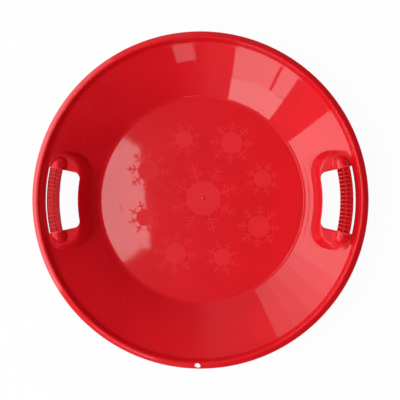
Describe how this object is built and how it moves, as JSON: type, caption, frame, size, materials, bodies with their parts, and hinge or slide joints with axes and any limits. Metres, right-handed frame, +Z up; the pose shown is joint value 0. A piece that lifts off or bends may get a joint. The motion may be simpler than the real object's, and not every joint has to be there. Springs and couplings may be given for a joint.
{
  "type": "saucer sled",
  "caption": "Round plastic saucer sled with a flat floor, sloping wall, rolled rim, a ribbed hand grip in a raised surround on each side, and a small tow hole at the edge.",
  "frame": {"origin": "on the ground under the middle of the floor", "axes": "+Z up, +X towards the right handle, -Y towards the tow hole"},
  "size_m": [0.6, 0.6, 0.088],
  "materials": {
    "dish_red": "gloss",
    "rim_red": "gloss",
    "surround_red": "gloss",
    "grip_red": "satin"
  },
  "bodies": {
    "root": {"dish": "dish_red", "rolled_rim": "rim_red", "right_handle_surround": "surround_red", "left_handle_surround": "surround_red", "right_grip": "grip_red", "left_grip": "grip_red"}
  },
  "joints": []
}
